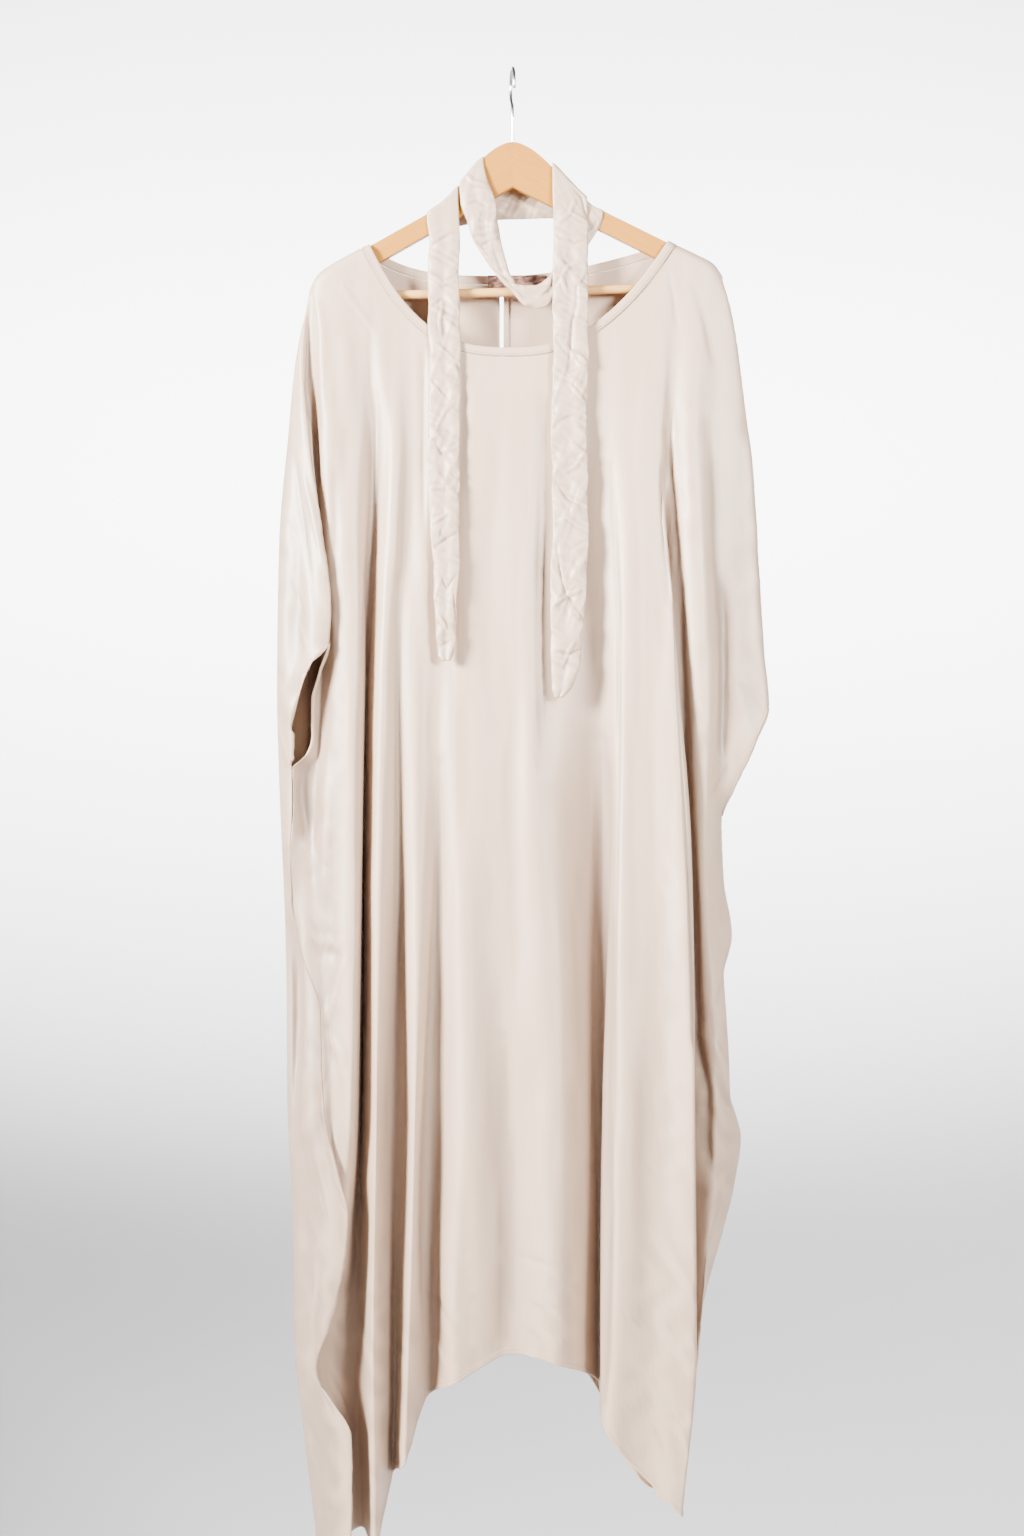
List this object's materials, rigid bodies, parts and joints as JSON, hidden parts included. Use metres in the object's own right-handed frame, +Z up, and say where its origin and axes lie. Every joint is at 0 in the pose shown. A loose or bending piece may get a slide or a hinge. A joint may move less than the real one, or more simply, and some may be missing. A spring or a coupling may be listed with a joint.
{
  "type": "kaftan on a wooden hanger",
  "caption": "Square-cut satin kaftan hung on a wooden suit hanger, its sash wound round the hanger with two tails in front.",
  "frame": {"origin": "the point inside the top of the hanger's hook, where a rail would hold it", "axes": "+Z up, -Y out of the garment's front, +X to the right as seen from the front"},
  "size_m": [0.5413, 0.1412, 1.6374],
  "materials": {
    "satin": "soft satin, warm pale beige",
    "beech": "clear satin varnish on pale wood",
    "wire": "plated steel wire",
    "woven_label": "matt woven tape, bare"
  },
  "bodies": {
    "root": {"front": "satin", "back_left": "satin", "back_right": "satin", "neck_binding": "satin", "cuff_binding_left_front": "satin", "cuff_binding_left_back": "satin", "cuff_binding_right_front": "satin", "cuff_binding_right_back": "satin", "back_slit_facing": "satin", "neck_label": "woven_label", "hanger_arm_left": "beech", "hanger_arm_right": "beech", "hanger_bar": "beech", "hanger_hook": "wire", "sash_left_tail": "satin", "sash_right_tail": "satin", "sash_loop": "satin", "sash_back": "satin"}
  },
  "joints": []
}
